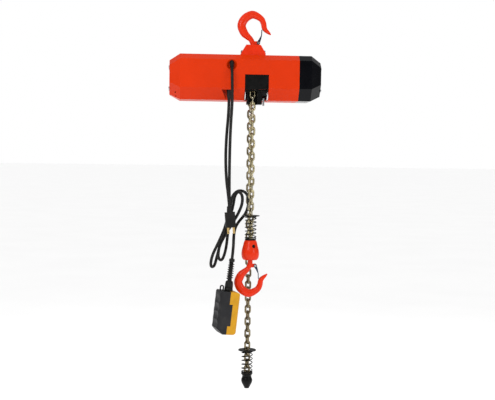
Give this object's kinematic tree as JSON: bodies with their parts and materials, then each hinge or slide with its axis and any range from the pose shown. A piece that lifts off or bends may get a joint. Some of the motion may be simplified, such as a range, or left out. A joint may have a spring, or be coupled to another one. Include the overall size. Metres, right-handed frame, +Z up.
{
  "type": "electric chain hoist",
  "caption": "Electric chain hoist with a hook on top, a long painted body, a load chain with a swivelling hook, a hanging slack chain, a pendant control and a power lead.",
  "frame": {"origin": "centre of the top hook's bowl, where the beam or eye bears", "axes": "+Z up along the load line, +X along the body from the motor end towards the black end cover, -Y the front face with the chain window"},
  "size_m": [0.465, 0.1811, 1.171],
  "materials": {
    "housing_paint": "glossy orange-red paint on cast aluminium",
    "hook_paint": "glossy orange-red paint on forged steel",
    "black_paint": "gloss black paint",
    "black_steel": "satin black finish on spring and plate steel",
    "blued_steel": "dark blued pressed steel",
    "plated_steel": "zinc plated and machined steel",
    "load_chain_steel": "pale yellow zinc plating",
    "slack_chain_steel": "darker worn zinc plating",
    "laminations": "stacked electrical steel",
    "copper": "enamelled copper wire",
    "brass": "polished brass",
    "iron": "hardened cast steel",
    "bright_alloy": "bright machined aluminium",
    "black_rubber": "black cord jacket and moulded rubber",
    "friction_lining": "pressed brake lining",
    "black_plastic": "matt black moulding",
    "grey_plastic": "dark grey moulding",
    "yellow_plastic": "yellow moulding with a low gloss",
    "white_plastic": "white button moulding"
  },
  "bodies": {
    "hoist_body": {"motor_cover": "housing_paint", "centre_frame": "housing_paint", "gear_housing": "housing_paint", "gear_plate": "bright_alloy", "end_cover": "black_paint", "control_gear": "black_plastic", "window_plate": "black_steel", "chain_guide": "black_steel", "limit_switch": "black_plastic", "housing_screws": "plated_steel", "suspension_bracket": "hook_paint", "bracket_bolts": "plated_steel", "stator_core": "laminations", "stator_windings": "copper", "motor_end_plate": "bright_alloy", "brake_coil": "black_steel", "brake_plate": "black_steel", "shaft_bearings": "plated_steel", "cord_glands": "black_rubber", "pendant_cord": "black_rubber", "power_cord": "black_rubber", "power_plug": "black_rubber", "plug_blades": "brass", "pendant_rear_shell": "grey_plastic", "pendant_front_shell": "yellow_plastic", "pendant_switch": "black_plastic", "pendant_eyelet": "black_steel", "pendant_strain_relief": "black_rubber"},
    "top_hook_body": {"top_hook": "hook_paint", "top_latch_pin": "plated_steel", "top_hook_nut": "plated_steel"},
    "top_latch_body": {"top_latch": "blued_steel"},
    "rotor": {"motor_shaft": "plated_steel", "rotor_core": "laminations", "cooling_fan": "black_plastic", "brake_disc": "friction_lining"},
    "countershaft": {"counter_gear": "iron"},
    "sheave": {"load_sheave": "iron", "output_gear": "iron", "wheel_chain": "load_chain_steel"},
    "armature": {"brake_armature": "plated_steel"},
    "lever": {"limit_lever": "plated_steel"},
    "load_run": {"load_chain": "load_chain_steel", "hook_block_front": "hook_paint", "hook_block_rear": "hook_paint", "block_pin": "black_steel", "spring_seat": "black_steel", "stop_spring": "black_steel", "thrust_bearing": "plated_steel"},
    "load_hook_body": {"load_hook": "hook_paint", "load_latch_pin": "plated_steel", "load_hook_nut": "plated_steel"},
    "load_latch_body": {"load_latch": "blued_steel"},
    "stop_plate_body": {"stop_plate": "black_steel"},
    "slack_run": {"slack_chain": "slack_chain_steel", "tail_weight": "black_steel", "tail_spring": "black_steel"},
    "tail_disc_body": {"tail_disc": "black_steel"},
    "up_button_body": {"up_button": "white_plastic"},
    "down_button_body": {"down_button": "black_plastic"}
  },
  "joints": [
    {"name": "top_hook_swivel", "type": "hinge", "parent": "hoist_body", "child": "top_hook_body", "pos_m": [0, 0, -0.07], "axis": [0, 0, 1], "continuous": true},
    {"name": "top_latch_hinge", "type": "hinge", "parent": "top_hook_body", "child": "top_latch_body", "pos_m": [0.0155, 0, -0.05], "axis": [0, -1, 0], "range_deg": [0, 35], "stiffness_Nm_per_rad": 0.3, "springref_deg": -11.46},
    {"name": "motor_turn", "type": "hinge", "parent": "hoist_body", "child": "rotor", "pos_m": [0, 0.03648, -0.156], "axis": [-1, 0, 0], "range_deg": [0, 964.29]},
    {"name": "countershaft_turn", "type": "hinge", "parent": "hoist_body", "child": "countershaft", "pos_m": [0, 0.07648, -0.156], "axis": [-1, 0, 0], "range_deg": [-271, 1]},
    {"name": "sheave_turn", "type": "hinge", "parent": "hoist_body", "child": "sheave", "pos_m": [0, 0.03648, -0.156], "axis": [-1, 0, 0], "range_deg": [0, 90.1]},
    {"name": "load_travel", "type": "slide", "parent": "hoist_body", "child": "load_run", "axis": [0, 0, 1], "range_m": [0, 0.0574]},
    {"name": "slack_travel", "type": "slide", "parent": "hoist_body", "child": "slack_run", "axis": [0, 0, -1], "range_m": [0, 0.0574]},
    {"name": "load_hook_swivel", "type": "hinge", "parent": "load_run", "child": "load_hook_body", "pos_m": [0, 0, -0.7], "axis": [0, 0, 1], "continuous": true},
    {"name": "load_latch_hinge", "type": "hinge", "parent": "load_hook_body", "child": "load_latch_body", "pos_m": [0.0155, 0, -0.727], "axis": [0, 1, 0], "range_deg": [0, 35], "stiffness_Nm_per_rad": 0.3, "springref_deg": -11.46},
    {"name": "stop_plate_slide", "type": "slide", "parent": "load_run", "child": "stop_plate_body", "axis": [0, 0, -1], "range_m": [0, 0.03], "stiffness_N_per_m": 4000, "springref_m": -0.002, "deforming": ["stop_spring"]},
    {"name": "tail_disc_slide", "type": "slide", "parent": "slack_run", "child": "tail_disc_body", "axis": [0, 0, -1], "range_m": [0, 0.03], "stiffness_N_per_m": 4000, "springref_m": -0.002, "deforming": ["tail_spring"]},
    {"name": "up_press", "type": "slide", "parent": "hoist_body", "child": "up_button_body", "axis": [-0.9463, -0.3075, 0.0995], "range_m": [0, 0.003], "stiffness_N_per_m": 900, "springref_m": -0.001},
    {"name": "down_press", "type": "slide", "parent": "hoist_body", "child": "down_button_body", "axis": [-0.9463, -0.3075, 0.0995], "range_m": [0, 0.003], "stiffness_N_per_m": 900, "springref_m": -0.001},
    {"name": "lever_swing", "type": "hinge", "parent": "hoist_body", "child": "lever", "pos_m": [0.03, 0.01, -0.218], "axis": [-1, 0, 0], "range_deg": [0, 8], "stiffness_Nm_per_rad": 1, "springref_deg": -11.46},
    {"name": "brake_release", "type": "slide", "parent": "hoist_body", "child": "armature", "axis": [1, 0, 0], "range_m": [0, 0.0005], "stiffness_N_per_m": 20000, "springref_m": -0.002}
  ],
  "couplings": [
    {"joint": "countershaft_turn", "follows": "motor_turn", "ratio": -0.28},
    {"joint": "sheave_turn", "follows": "motor_turn", "ratio": 0.093333},
    {"joint": "load_travel", "follows": "motor_turn", "m_per_rad": 0.0034046},
    {"joint": "slack_travel", "follows": "motor_turn", "m_per_rad": 0.0034046}
  ]
}
